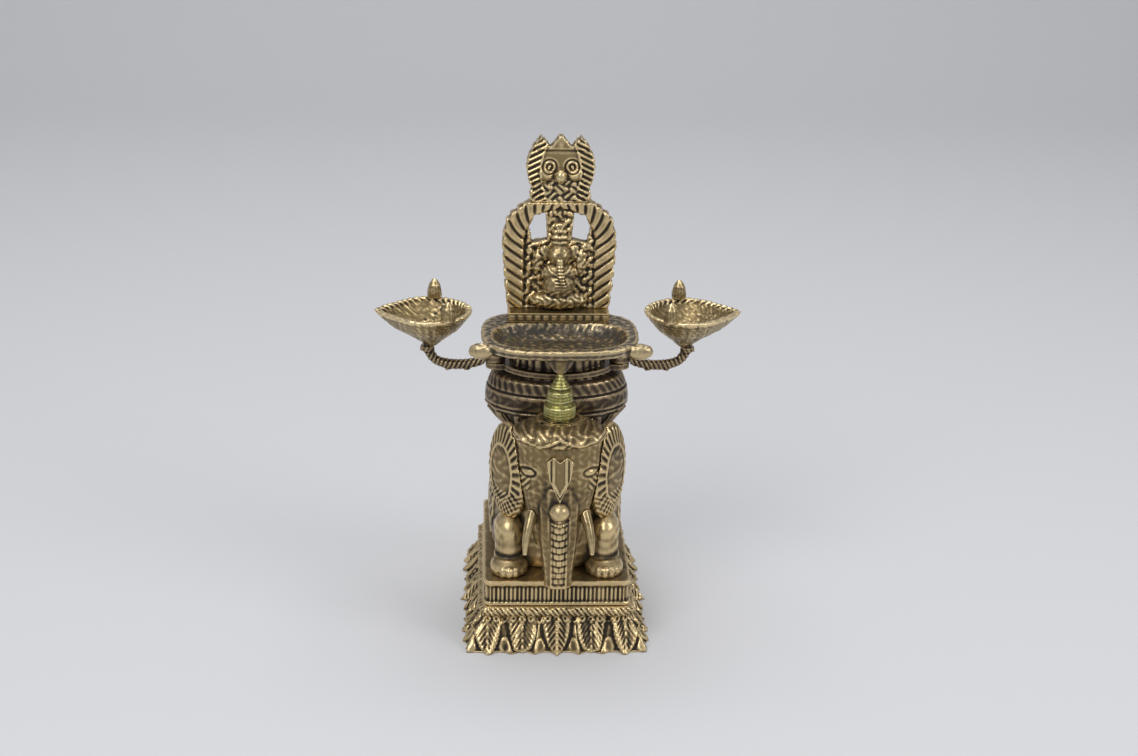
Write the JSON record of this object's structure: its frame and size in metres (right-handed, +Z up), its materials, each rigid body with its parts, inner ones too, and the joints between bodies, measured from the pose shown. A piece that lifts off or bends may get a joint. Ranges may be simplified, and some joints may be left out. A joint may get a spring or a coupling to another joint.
{
  "type": "oil lamp",
  "caption": "Cast brass temple oil lamp: kneeling elephant on a leaf-edged plinth, with an oil vase, swinging side cups and a crested plaque.",
  "frame": {"origin": "on the floor, under the centre of the bounding box", "axes": "+Z up, -Y towards the viewer (the elephant's face), +X to the viewer's right"},
  "size_m": [0.1526, 0.1, 0.2076],
  "materials": {
    "brass": "worn satin",
    "dark_brass": "dark patina",
    "green_brass": "yellow-green patina",
    "steel": "plain"
  },
  "bodies": {
    "base": {"leaf_skirt": "brass", "rope_moulding": "dark_brass", "fluted_block": "brass", "elephant_body": "brass", "elephant_head": "brass", "headdress": "brass", "brow_pendant": "brass", "left_ear": "brass", "right_ear": "brass", "left_tusk": "brass", "right_tusk": "brass", "vase": "dark_brass", "tie_stud": "steel", "tie_washer": "steel", "tie_nut": "steel", "arm_collar": "dark_brass", "left_pivot_pin": "dark_brass", "right_pivot_pin": "dark_brass", "finial": "green_brass"},
    "left_lamp": {"left_arm": "dark_brass", "left_cup": "brass", "left_back_bud": "brass", "left_front_bud": "brass"},
    "right_lamp": {"right_arm": "dark_brass", "right_cup": "brass", "right_back_bud": "brass", "right_front_bud": "brass"},
    "dish": {"front_dish": "brass", "plaque_ledge": "brass", "serpent_arch": "brass", "naga_hood": "brass", "seated_figure": "brass"}
  },
  "joints": [
    {"name": "right_arm_swing", "type": "hinge", "parent": "base", "child": "right_lamp", "pos_m": [0.026, 0, 0.1141], "axis": [0, 0, 1], "range_deg": [-10, 40]},
    {"name": "left_arm_swing", "type": "hinge", "parent": "base", "child": "left_lamp", "pos_m": [-0.026, 0, 0.1141], "axis": [0, 0, 1], "range_deg": [-40, 10]},
    {"name": "dish_lift", "type": "slide", "parent": "base", "child": "dish", "axis": [0, 0, 1], "range_m": [0, 0.03]}
  ]
}
